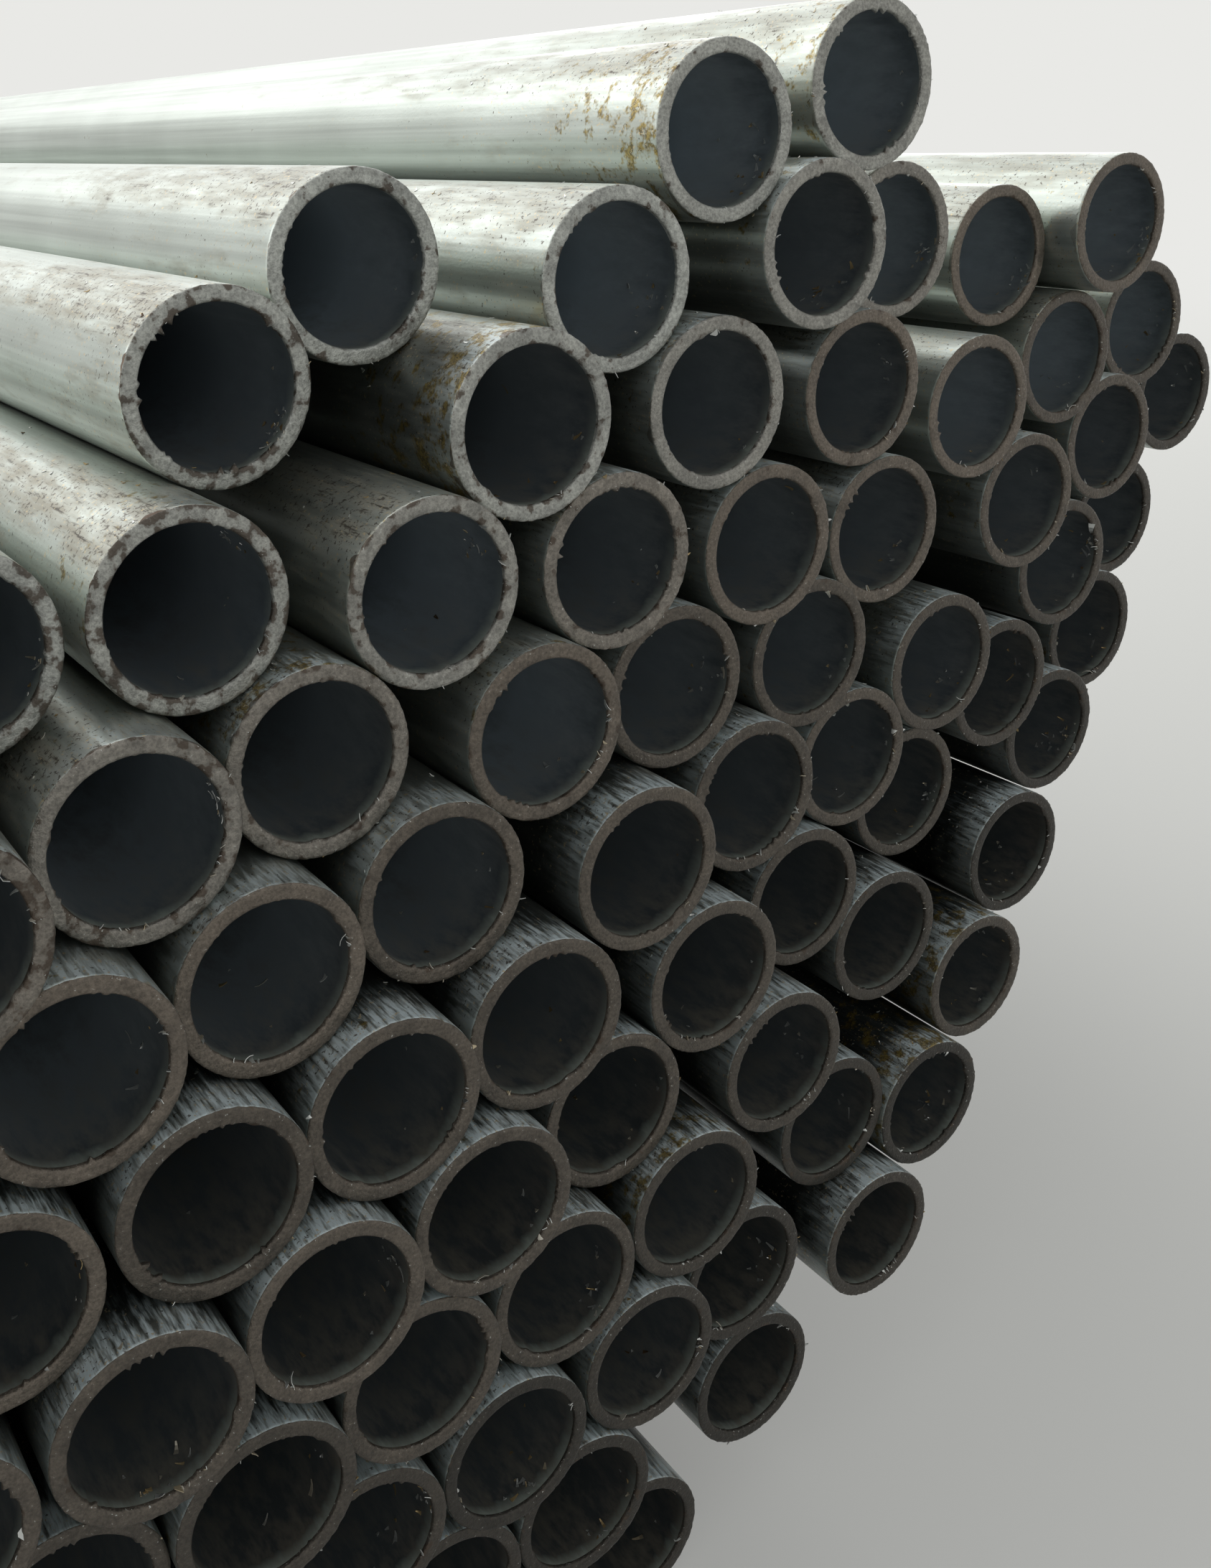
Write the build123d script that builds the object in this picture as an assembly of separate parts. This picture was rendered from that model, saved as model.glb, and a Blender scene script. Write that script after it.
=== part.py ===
from build123d import *
import os
from math import hypot

# Loose stack of galvanised steel tubes with plain sawn ends.
#
# The tubes run along Y, and the uneven sawn ends that people see face -Y. The lowest tubes lie
# on the floor at Z = 0, and the stack's middle is over the origin. All sizes are in millimetres.

# One tube: DN 25, light series, half of a 6 m mill length
outside_diameter = 33.7
wall = 2.9
tube_length = 3000.0

# The air between two tubes that lie against each other, which keeps each a solid of its own
clearance = 0.3

# Where the tubes of the stack lie, seen from their sawn ends, row by row from the floor up.
# Each tube has three sizes: how far its axis lies right of the row mark, how high it lies above
# the axes of the lowest row, and how far its sawn end stands back from the foremost end.
# They were read for tubes of layout_diameter, and the settling below makes them meet.
layout_diameter = 33.7
rows = [
    [(-92, 0, 14), (-58, 0, 22), (-24, 0, 16), (10, 0, 27), (44, 0, 34)],
    [(-108, 28, 12), (-74, 28, 18), (-40, 28, 22), (-6, 28, 27), (26, 29, 28), (83, 18, 39), (123, 34, 42)],
    [(-94, 57, 14), (-60, 57, 20), (-26, 57, 24), (7, 59, 25), (44, 58, 29), (82, 55, 38), (150, 56, 48)],
    [(-79, 89, 19), (-44, 89, 17), (-11, 92, 22), (25, 89, 27), (61, 87, 31), (118, 68, 49), (175, 82, 55)],
    [(-97, 124, 12), (-62, 123, 13), (-27, 122, 17), (7, 122, 21), (44, 116, 35), (94, 101, 40), (142, 108, 55),
     (202, 106, 64)],
    [(-80, 152, 18), (-44, 152, 19), (-10, 151, 22), (25, 151, 26), (73, 135, 37), (115, 128, 55),
     (160, 138, 66), (221, 134, 70)],
    [(-60, 181, 21), (-26, 181, 27), (9, 182, 32), (56, 168, 35), (93, 165, 47), (133, 157, 58),
     (195, 157, 66), (253, 155, 80)],
    [(-43, 211, 30), (-9, 211, 37), (36, 201, 38), (73, 197, 47), (119, 189, 56), (164, 177, 59),
     (228, 178, 74), (274, 182, 90)],
    [(-62, 242, 43), (-26, 240, 41), (17, 233, 39), (59, 227, 44), (102, 219, 51), (146, 210, 60),
     (203, 202, 67), (252, 208, 80), (298, 209, 92)],
    [(-9, 269, 60), (42, 257, 43), (90, 250, 51), (138, 243, 60), (182, 231, 66), (229, 233, 78), (272, 234, 87)],
    [(23, 284, 66), (69, 277, 53), (123, 275, 56), (157, 272, 69), (206, 261, 81), (240, 265, 72)],
    [(100, 299, 58), (141, 306, 60)],
]

# The far left of the stack goes on evenly: how many more tubes each row has there, from the floor
# up, and how far their ends stand back, one after the other
left_tube_count = [0, 0, 1, 2, 2, 3, 4, 5, 4, 0, 0, 0]
left_stand_back = [8, 17, 5, 21, 12]

# The settling. Two tubes read as closer than contact_gap lie against each other. Of what is wrong
# between two tubes, a push puts this share right at each of them at once, and a pull a little at a time.
contact_gap = 1.0
push_share = 0.5
pull_share = 0.05

# The settling goes on for this many rounds, and looks again at which tubes touch after each few
settling_rounds = 1200
rounds_per_look = 100


def read_layout():
    """Every tube as [across, height, stand back, row], at the size of tube that is built."""
    scale = outside_diameter / layout_diameter
    pitch = layout_diameter + clearance
    layout = []
    for level, (row, extra) in enumerate(zip(rows, left_tube_count)):
        first, height, _ = row[0]
        left = [(first - pitch * (extra - place), height, left_stand_back[(level + place) % len(left_stand_back)])
                for place in range(extra)]
        layout += [[across * scale, up * scale, back, level] for across, up, back in left + row]
    return layout


def find_contacts(layout):
    """The pairs of tubes that lie against each other, with enough of them to join the whole stack."""
    pitch = outside_diameter + clearance
    pairs = []
    for second in range(len(layout)):
        for first in range(second):
            apart = hypot(layout[first][0] - layout[second][0], layout[first][1] - layout[second][1])
            pairs.append((apart - pitch, first, second))
    pairs.sort()
    group = list(range(len(layout)))
    contacts = []
    for gap, first, second in pairs:
        joins_groups = group[first] != group[second]
        if joins_groups or gap < contact_gap:
            contacts.append((first, second))
        if joins_groups:
            merged = group[second]
            group = [group[first] if member == merged else member for member in group]
    return contacts


def settle(layout):
    """Draws the tubes that lie together into contact, and pushes apart those that are too close."""
    pitch = outside_diameter + clearance
    # Tubes with room for half a tube between them never meet, so only nearer pairs are looked at
    near = [(first, second) for second in range(len(layout)) for first in range(second)
            if hypot(layout[first][0] - layout[second][0],
                     layout[first][1] - layout[second][1]) < pitch + outside_diameter / 2]
    for settling_round in range(settling_rounds):
        if settling_round % rounds_per_look == 0:
            contacts = set(find_contacts(layout))
        for first, second in near:
            one, other = layout[first], layout[second]
            apart = hypot(one[0] - other[0], one[1] - other[1])
            too_far = apart - pitch
            if too_far > 0 and (first, second) not in contacts:
                continue
            share = (push_share if too_far < 0 else pull_share) * too_far / apart
            step_across, step_up = (other[0] - one[0]) * share, (other[1] - one[1]) * share
            one[0] += step_across
            other[0] -= step_across
            # The lowest row stays on the floor
            one[1] += step_up if one[3] else 0
            other[1] -= step_up if other[3] else 0
    return layout


def make_tube(across, height, stand_back):
    """One tube along Y, with its near end stand_back behind the plane of the foremost end."""
    outside = Cylinder(outside_diameter / 2, tube_length)
    bore = Cylinder(outside_diameter / 2 - wall, tube_length)
    along_y = Rotation(90, 0, 0) * (outside - bore)
    return Pos(across, stand_back + tube_length / 2, height + outside_diameter / 2) * along_y


if __name__ == "__main__":
    layout = settle(read_layout())
    across = [tube[0] for tube in layout]
    stand_back = [tube[2] for tube in layout]
    middle = Pos(-(min(across) + max(across)) / 2, -(min(stand_back) + max(stand_back) + tube_length) / 2, 0)
    os.makedirs("parts", exist_ok=True)
    for level in range(len(rows)):
        tubes = [middle * make_tube(*tube[:3]) for tube in layout if tube[3] == level]
        export_step(Compound(children=tubes), f"parts/row_{level + 1:02d}_tubes.step")
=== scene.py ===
"""Looks of a loose stack of galvanised steel tubes with sawn ends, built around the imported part."""
import math
import random

import bmesh
import bpy
import numpy as np
from mathutils import Matrix, Vector


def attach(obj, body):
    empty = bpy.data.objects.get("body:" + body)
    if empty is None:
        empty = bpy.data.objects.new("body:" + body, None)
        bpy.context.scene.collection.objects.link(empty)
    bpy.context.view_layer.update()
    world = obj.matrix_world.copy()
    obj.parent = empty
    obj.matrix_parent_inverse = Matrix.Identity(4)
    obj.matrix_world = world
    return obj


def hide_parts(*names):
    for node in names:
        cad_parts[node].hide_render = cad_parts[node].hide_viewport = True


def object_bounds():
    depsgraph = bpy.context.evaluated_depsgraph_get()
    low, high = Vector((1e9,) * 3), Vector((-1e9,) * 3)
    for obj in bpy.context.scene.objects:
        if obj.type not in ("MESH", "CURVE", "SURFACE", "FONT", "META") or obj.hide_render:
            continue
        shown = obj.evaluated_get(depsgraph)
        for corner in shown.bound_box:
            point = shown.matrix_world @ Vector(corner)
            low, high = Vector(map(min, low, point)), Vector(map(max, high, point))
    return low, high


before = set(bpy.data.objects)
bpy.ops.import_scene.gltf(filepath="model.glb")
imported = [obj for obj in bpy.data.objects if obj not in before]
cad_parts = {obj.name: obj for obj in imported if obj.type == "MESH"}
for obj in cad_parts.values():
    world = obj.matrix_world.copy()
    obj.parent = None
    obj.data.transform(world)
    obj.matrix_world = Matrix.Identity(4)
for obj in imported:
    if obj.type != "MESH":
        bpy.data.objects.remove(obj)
part_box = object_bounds()

MM = 0.001

# The tube's sizes, in metres, as the part has them
OUTSIDE_RADIUS = 33.7 / 2 * MM
WALL = 2.9 * MM
BORE_RADIUS = OUTSIDE_RADIUS - WALL
TUBE_LENGTH = 3000 * MM

# The stack's height and width, which place a tube as high or low, left or right in it
LOWEST, HIGHEST = part_box[0][2], part_box[1][2]
LEFTMOST, RIGHTMOST = part_box[0][0], part_box[1][0]

# Two tubes whose axes are nearer than this lie against each other
TOUCHING = 2.14 * OUTSIDE_RADIUS

# How soot on the tubes and grime on their rims, both with painted shade, go with the height in the stack,
# from 0 at the floor to 1 at the top, and the least soot and painted shade on a tube that lies under another
SOOT_AND_SHADE_BY_HEIGHT = ([0.1, 0.5, 0.68, 0.76], [1.0, 0.85, 0.14, 0.0])
GRIME_AND_SHADE_BY_HEIGHT = ([0.1, 0.4, 0.6, 0.8, 1.0], [0.96, 0.74, 0.54, 0.12, -0.08])
COVERED_SOOT_AND_SHADE = 0.54

# The tubes with ochre stains: (x, z) of a place in mm, and how stained the tube is whose axis lies within the
# search distance of it
STAINED_TUBES = [(-1, 273, 1.0), (57, 316, 0.9), (98, 322, 0.5), (-51, 227, 0.8),
                 (-68, 257, 0.45), (109, 76, 0.9), (134, 100, 0.9), (19, 104, 0.7)]
STAIN_SEARCH = 6 * MM

# Steps around a tube: each is about 0.7 mm at the outside, fine enough for the burr's teeth
SEGMENTS = 160
turn = np.linspace(0, 2 * np.pi, SEGMENTS, endpoint=False)

# The finishes of a tube, by their place in its list of materials
COAT, RIM, BORE = 0, 1, 2


def tubes_in(node):
    """(x, z, near end's y) of each tube in a node of the part, from left to right."""
    mesh = bmesh.new()
    mesh.from_mesh(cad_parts[node].data)
    bmesh.ops.remove_doubles(mesh, verts=mesh.verts, dist=0.001 * MM)
    unseen = set(mesh.verts)
    found = []
    while unseen:
        waiting = [unseen.pop()]
        corners = []
        while waiting:
            vertex = waiting.pop()
            corners.append(vertex.co[:])
            for edge in vertex.link_edges:
                other = edge.other_vert(vertex)
                if other in unseen:
                    unseen.remove(other)
                    waiting.append(other)
        low, high = np.min(corners, axis=0), np.max(corners, axis=0)
        found.append(((low[0] + high[0]) / 2, (low[2] + high[2]) / 2, low[1]))
    mesh.free()
    return sorted(found)


rows = {name: tubes_in(name) for name in sorted(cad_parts)}
tubes = [tube for row in rows.values() for tube in row]
axes_of_tubes = np.array(tubes)


def ripple(dice, waves, strength):
    """An uneven line around a tube: the sum of a few waves with chance heights and places."""
    line = np.zeros(SEGMENTS)
    for wave in waves:
        line += dice.normal() * np.cos(wave * turn + dice.uniform(0, 2 * np.pi)) / math.sqrt(len(waves))
    return line * strength


def burr_around(dice, raggedness):
    """How far the saw's burr hangs into the bore around the mouth: fine teeth that come and go."""
    patches = np.clip(ripple(dice, range(2, 9), 1.0) - 0.2, 0, 1.2)
    teeth = np.clip(ripple(dice, range(26, 76), 1.0), 0, None)
    return np.minimum(patches * teeth, 1.3) * raggedness


def weld_bead(dice):
    """The trimmed weld inside the tube: a ridge along the whole bore, 0.4 mm high and about 2 mm wide."""
    from_bead = (turn - dice.uniform(0, 2 * np.pi) + np.pi) % (2 * np.pi) - np.pi
    return 0.4 * MM * np.exp(-(from_bead * BORE_RADIUS / (1.1 * MM)) ** 2)


def tube_rings(dice, raggedness):
    """The rings that one tube is lofted through: from its far end along the outside, over the sawn face and
    back along the bore. Each is its radius and its distance from the near end, around the turn, and the
    finish of the strip that follows it."""
    even = np.ones(SEGMENTS)
    burr = burr_around(dice, raggedness)
    bore = BORE_RADIUS - weld_bead(dice)
    chatter = ripple(dice, range(6, 40), 0.06 * MM)
    nick = ripple(dice, range(12, 76), 0.09 * MM)
    far = TUBE_LENGTH
    outside = [
        (even * (OUTSIDE_RADIUS - 0.3 * MM), even * far, COAT),
        (even * OUTSIDE_RADIUS, even * (far - 0.3 * MM), COAT),
        (even * OUTSIDE_RADIUS, even * (far - 3 * MM), COAT),
        (even * OUTSIDE_RADIUS, even * 5 * MM, COAT),
        (even * OUTSIDE_RADIUS + nick * 0.2, even * 0.9 * MM, COAT),
    ]
    nicked_edge = [
        (even * (OUTSIDE_RADIUS - 0.06 * MM) + nick * 0.5, even * 0.3 * MM, RIM),
        (even * (OUTSIDE_RADIUS - 0.28 * MM) + nick, even * 0.06 * MM, RIM),
    ]
    sawn_face = [
        (even * (OUTSIDE_RADIUS - 0.8 * MM), chatter, RIM),
        (even * (OUTSIDE_RADIUS - 1.45 * MM), -chatter * 0.7, RIM),
        (even * (BORE_RADIUS + 0.8 * MM), chatter * 0.5, RIM),
    ]
    burred_edge = [
        (even * (BORE_RADIUS + 0.4 * MM) - burr * 0.2, even * 0.02 * MM - burr * 0.3, RIM),
        (even * (BORE_RADIUS + 0.12 * MM) - burr * 0.7, even * 0.18 * MM - burr * 0.4, RIM),
        (bore - burr, even * 0.5 * MM - burr * 0.1, RIM),
        (bore - burr * 0.6, even * 1.0 * MM, BORE),
        (bore - burr * 0.1, even * 2.2 * MM, BORE),
    ]
    inside = [
        (bore, even * 6 * MM, BORE),
        (bore, even * (far - 3 * MM), BORE),
        (bore + 0.2 * MM, even * (far - 0.05 * MM), RIM),
    ]
    return outside + nicked_edge + sawn_face + burred_edge + inside


def is_covered(x, z):
    """True for a tube with another one on its top or its left shoulder, which leaves it in the dark."""
    across, up = (axes_of_tubes[:, :2] - (x, z)).T
    return ((up > 10 * MM) & (across < 8 * MM) & (np.hypot(across, up) < TOUCHING)).any()


def state_of(x, z, dice):
    """How sooty and shaded, how grimy and shaded at the sawn end, how rusty and how ochre-stained a tube is,
    each from 0 to 1. Soot and grime carry painted shade: they are thickest low in the stack, the soot and
    shade also on whatever lies under another tube and the grime and shade on the right side; rust is worst
    at the top on the left."""
    height = (z - LOWEST) / (HIGHEST - LOWEST)
    across = (x - LEFTMOST) / (RIGHTMOST - LEFTMOST)
    # Soot and painted shade: thickest low in the stack and on tubes that lie under others
    soot_and_shade = np.interp(height, *SOOT_AND_SHADE_BY_HEIGHT) + dice.normal() * 0.05
    if is_covered(x, z):
        soot_and_shade = max(soot_and_shade, COVERED_SOOT_AND_SHADE)
    # Grime and painted shade on the rim: thickest low in the stack and high on the right
    grime_and_shade = np.interp(height, *GRIME_AND_SHADE_BY_HEIGHT) + dice.normal() * 0.06
    grime_and_shade += 1.4 * max(across - 0.45, 0) * height
    exposed = np.clip((height - 0.5) / 0.2, 0, 1) * np.clip(1.75 - 2.2 * across, 0, 1)
    rust = max(exposed, 0.15 + 0.3 * dice.uniform()) + dice.normal() * 0.05
    ochre = 0.25 * dice.uniform()
    for stained_x, stained_z, share in STAINED_TUBES:
        if math.hypot(x - stained_x * MM, z - stained_z * MM) < STAIN_SEARCH:
            ochre = share
    return [float(np.clip(share, 0, 1)) for share in (soot_and_shade, grime_and_shade, rust, ochre)]


def make_row(node, tubes_of_row, finishes):
    """All tubes of one row of the stack as one mesh, which stands for the row's node."""
    places, faces, finish_of_face, along = [], [], [], []
    marks = {"tube_seed": [], "tube_soot_and_shade": [], "tube_grime_and_shade": [], "tube_rust": [], "tube_ochre": []}
    row_number = int(node.split("_")[1])
    for number, (x, z, near) in enumerate(tubes_of_row):
        dice = np.random.default_rng(1000 * row_number + number)
        state = state_of(x, z, dice)
        raggedness = dice.choice([0.35, 0.6, 1.0]) * MM
        rings = tube_rings(dice, raggedness)
        first = len(places)
        for radius, distance, _ in rings:
            ring = np.column_stack([radius * np.cos(turn), distance, radius * np.sin(turn)])
            along.append(ring)
            places.extend(ring + np.array([x, near, z]))
        for name, mark in zip(marks, [dice.uniform(0, 1)] + state):
            marks[name] += [mark] * (len(places) - first)
        for strip in range(len(rings)):
            after = (strip + 1) % len(rings)
            here, there = first + strip * SEGMENTS, first + after * SEGMENTS
            for step in range(SEGMENTS):
                right = (step + 1) % SEGMENTS
                faces.append((here + step, here + right, there + right, there + step))
                finish_of_face.append(rings[strip][2])
    mesh = bpy.data.meshes.new(node.replace("tubes", "galvanised_tubes"))
    mesh.from_pydata([tuple(place) for place in places], [], faces)
    for finish in finishes:
        mesh.materials.append(finish)
    mesh.polygons.foreach_set("material_index", finish_of_face)
    mesh.polygons.foreach_set("use_smooth", [True] * len(faces))
    place_on_tube = mesh.attributes.new("place_on_tube", "FLOAT_VECTOR", "POINT")
    place_on_tube.data.foreach_set("vector", np.concatenate(along).ravel())
    for name, values in marks.items():
        mesh.attributes.new(name, "FLOAT", "POINT").data.foreach_set("value", values)
    mesh.update()
    row = bpy.data.objects.new(mesh.name, mesh)
    bpy.context.scene.collection.objects.link(row)
    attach(row, "root")
    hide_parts(node)


def colour(code):
    """An sRGB hex colour as the linear values that Blender works in."""
    parts = [int(code[place:place + 2], 16) / 255 for place in (1, 3, 5)]
    return tuple(p / 12.92 if p <= 0.04045 else ((p + 0.055) / 1.055) ** 2.4 for p in parts) + (1.0,)


def add_node(tree, kind, inputs=None, **settings):
    """One shader node, with its settings, and its inputs as values or as links from other nodes' outputs.

    Inputs are given by name or number. Map Range takes a value at 0 and turns 1..2 into 3..4. Mix takes its
    share at 0, its numbers at 2 and 3, and its colours at 6 and 7, which it gives mixed at output 2."""
    node = tree.nodes.new("ShaderNode" + kind)
    for name, value in settings.items():
        setattr(node, name, value)
    for name, value in (inputs or {}).items():
        if isinstance(value, bpy.types.NodeSocket):
            tree.links.new(value, node.inputs[name])
        else:
            node.inputs[name].default_value = value
    return node


def new_material(name):
    """An empty material and its node tree."""
    material = bpy.data.materials.new(name)
    material.use_nodes = True
    material.node_tree.nodes.clear()
    return material, material.node_tree


def per_metre(size_mm):
    """A noise scale, in features a metre, for features of this size."""
    return 1 / (size_mm * MM)


# How far the tube's seed moves each finish's patterns, in metres, so that no two tubes look alike
COAT_SHIFT, RIM_SHIFT, BORE_SHIFT = 37.0, 53.0, 71.0


def places_on_tube(tree, shift):
    """A place on its own tube, measured from the axis and the near end; the same moved by the tube's seed,
    for the patterns; and its X, Y and Z."""
    place = add_node(tree, "Attribute", attribute_name="place_on_tube").outputs["Vector"]
    seed = add_node(tree, "Attribute", attribute_name="tube_seed").outputs["Fac"]
    moved_by = add_node(tree, "Math", {0: seed, 1: shift}, operation="MULTIPLY").outputs[0]
    shifted = add_node(tree, "VectorMath", {0: place, 1: moved_by}, operation="ADD").outputs[0]
    return place, shifted, add_node(tree, "SeparateXYZ", {0: place}).outputs


# Dirt settles on a tube's top and to its left. This is that direction over the radius, so that a place on the
# tube times it is 1 where the surface faces that way.
DIRTY_SIDE = (-0.5 / OUTSIDE_RADIUS, 0.0, 0.87 / OUTSIDE_RADIUS)


def zinc_coat():
    """Hot-dip galvanised tube, wiped as it leaves the bath: a satin grey-green zinc skin with long fine draw
    lines. Near the sawn ends its top carries taupe dirt with dark wrinkles, and saw grit. Some tubes have
    ochre stains. Low in the stack and under other tubes, soot and painted shade darken them, less at the very
    end, where they have white rust with a painted highlight on the crest."""
    material, tree = new_material("galvanised_zinc_coat")
    place, shifted, axes = places_on_tube(tree, COAT_SHIFT)
    soot_and_shade = add_node(tree, "Attribute", attribute_name="tube_soot_and_shade").outputs["Fac"]
    rust = add_node(tree, "Attribute", attribute_name="tube_rust").outputs["Fac"]
    ochre = add_node(tree, "Attribute", attribute_name="tube_ochre").outputs["Fac"]
    distance = axes["Y"]

    # Zinc, in soft patches about 30 mm across
    clouds = add_node(tree, "TexNoise", {"Vector": shifted, "Scale": per_metre(30),
                                         "Detail": 2.0}).outputs[0]
    zinc = add_node(tree, "Mix", {0: clouds, 6: colour("#a8aea7"), 7: colour("#c3cac4")},
                    data_type="RGBA").outputs[2]
    # Draw lines, 1.6 mm wide and 160 mm long
    drawn = add_node(tree, "Mapping", {"Vector": shifted, "Scale": (1.0, 0.01, 1.0)}).outputs[0]
    lines = add_node(tree, "TexNoise", {"Vector": drawn, "Scale": per_metre(1.6), "Detail": 2.0}).outputs[0]
    line_tone = add_node(tree, "MapRange", {0: lines, 1: 0.35, 2: 0.65, 3: 0.86, 4: 1.06}).outputs[0]
    lined = add_node(tree, "Mix", {0: 1.0, 6: zinc, 7: line_tone}, data_type="RGBA",
                     blend_type="MULTIPLY").outputs[2]

    # How near the sawn end a place is, with an uneven edge: about 1 at the end, 0 at 180 mm
    uneven = add_node(tree, "TexNoise", {"Vector": shifted, "Scale": per_metre(12), "Detail": 3.0,
                                         "Roughness": 0.65}).outputs[0]
    fall = add_node(tree, "MapRange", {0: distance, 1: 0.0, 2: 220 * MM, 3: 0.6, 4: -0.75}).outputs[0]
    near_end = add_node(tree, "Math", {0: fall, 1: uneven}, operation="ADD").outputs[0]
    # How far the surface faces the side that dirt settles on
    facing = add_node(tree, "VectorMath", {0: place, 1: DIRTY_SIDE},
                      operation="DOT_PRODUCT").outputs["Value"]
    settled = add_node(tree, "MapRange", {0: facing, 1: 0.84, 2: 0.985, 3: 0.0, 4: 1.0},
                       interpolation_type="SMOOTHSTEP").outputs[0]

    # Clusters 0.9 mm across of grains half that size, for the saw grit and the specks in the stains
    grains = add_node(tree, "TexNoise", {"Vector": shifted, "Scale": per_metre(0.9), "Detail": 2.0,
                                         "Roughness": 0.7}).outputs[0]
    # Streaks 0.9 mm wide and 7 mm long, for the wrinkles in the dirt and for the white rust
    streaked = add_node(tree, "Mapping", {"Vector": shifted, "Scale": (1.0, 0.13, 1.0)}).outputs[0]
    streaks = add_node(tree, "TexNoise", {"Vector": streaked, "Scale": per_metre(0.9), "Detail": 3.0,
                                          "Roughness": 0.65}).outputs[0]

    # Taupe dirt, in bands 3 mm wide and 15 mm long, thicker on the rustier tubes
    banded = add_node(tree, "Mapping", {"Vector": shifted, "Scale": (1.0, 0.2, 1.0)}).outputs[0]
    bands = add_node(tree, "TexNoise", {"Vector": banded, "Scale": per_metre(3), "Detail": 3.0,
                                        "Roughness": 0.62}).outputs[0]
    band_near = add_node(tree, "Math", {0: near_end, 1: 0.3, 2: bands}, operation="MULTIPLY_ADD").outputs[0]
    band_on_top = add_node(tree, "Math", {0: settled, 1: 0.21, 2: band_near},
                           operation="MULTIPLY_ADD").outputs[0]
    thickness = add_node(tree, "MapRange", {0: rust, 1: 0.2, 2: 1.0, 3: 0.36, 4: 0.72}).outputs[0]
    dirt = add_node(tree, "MapRange", {0: band_on_top, 1: 0.78, 2: 1.1, 3: 0.0, 4: thickness}).outputs[0]
    dirty = add_node(tree, "Mix", {0: dirt, 6: lined, 7: colour("#8c8370")}, data_type="RGBA").outputs[2]
    # The wrinkles of dried coolant where that dirt is thick, dark strokes along the tube
    stroke = add_node(tree, "MapRange", {0: streaks, 1: 0.34, 2: 0.43, 3: 1.0, 4: 0.0}).outputs[0]
    thick = add_node(tree, "MapRange", {0: dirt, 1: 0.2, 2: 0.6, 3: 0.0, 4: 0.85}).outputs[0]
    wrinkle = add_node(tree, "Math", {0: stroke, 1: thick}, operation="MULTIPLY").outputs[0]
    wrinkled = add_node(tree, "Mix", {0: wrinkle, 6: dirty, 7: colour("#3b352d")},
                        data_type="RGBA").outputs[2]

    # Soot, handling dirt and painted shade darken the tubes low in the stack and under others, most on their
    # flanks; the crest and the last 10 mm or so are painted lighter, where more light falls
    crest = add_node(tree, "MapRange", {0: axes["Z"], 1: 0.2 * OUTSIDE_RADIUS, 2: 0.92 * OUTSIDE_RADIUS,
                                        3: 0.0, 4: 1.0}).outputs[0]
    on_flank = add_node(tree, "MapRange", {0: soot_and_shade, 1: 0.0, 2: 1.0, 3: 0.0, 4: 0.96}).outputs[0]
    on_crest = add_node(tree, "MapRange", {0: soot_and_shade, 1: 0.35, 2: 0.85, 3: 0.0, 4: 0.93}).outputs[0]
    darkening = add_node(tree, "Mix", {0: crest, 2: on_flank, 3: on_crest}, data_type="FLOAT").outputs[0]
    # The last 10 mm or so, along a ragged edge, where the darkening is painted lighter
    last = add_node(tree, "Math", {0: uneven, 1: -20 * MM, 2: distance},
                    operation="MULTIPLY_ADD").outputs[0]
    very_end = add_node(tree, "MapRange", {0: last, 1: -8 * MM, 2: 2 * MM, 3: 1.0, 4: 0.0}).outputs[0]
    less_at_end = add_node(tree, "MapRange", {0: very_end, 1: 0.0, 2: 1.0, 3: 1.0, 4: 0.45}).outputs[0]
    darkening_here = add_node(tree, "Math", {0: darkening, 1: less_at_end}, operation="MULTIPLY").outputs[0]
    darkening_colour = add_node(tree, "Mix", {0: crest, 6: colour("#1f2322"), 7: colour("#252b2c")},
                           data_type="RGBA").outputs[2]
    darkened = add_node(tree, "Mix", {0: darkening_here, 6: wrinkled, 7: darkening_colour}, data_type="RGBA").outputs[2]
    # White rust on them there, in fine bluish streaks that are almost gone 15 mm from the end; on the crest
    # they are brightest, a painted highlight
    chalk_near = add_node(tree, "Math", {0: very_end, 1: 0.2, 2: streaks},
                          operation="MULTIPLY_ADD").outputs[0]
    chalk_share = add_node(tree, "MapRange", {0: soot_and_shade, 1: 0.0, 2: 0.8, 3: 0.1, 4: 1.0}).outputs[0]
    chalk_line = add_node(tree, "MapRange", {0: chalk_near, 1: 0.5, 2: 0.76, 3: 0.0,
                                             4: chalk_share}).outputs[0]
    reach = add_node(tree, "MapRange", {0: distance, 1: 4 * MM, 2: 15 * MM, 3: 1.0, 4: 0.08}).outputs[0]
    # Most on the crest, where the streaks are a painted highlight
    upward = add_node(tree, "MapRange", {0: crest, 1: 0.0, 2: 1.0, 3: 0.25, 4: 1.0}).outputs[0]
    chalk_reach = add_node(tree, "Math", {0: chalk_line, 1: reach}, operation="MULTIPLY").outputs[0]
    chalk_and_highlight = add_node(tree, "Math", {0: chalk_reach, 1: upward}, operation="MULTIPLY").outputs[0]
    whitened = add_node(tree, "Mix", {0: chalk_and_highlight, 6: darkened, 7: colour("#d0dcdf")},
                        data_type="RGBA").outputs[2]

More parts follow.
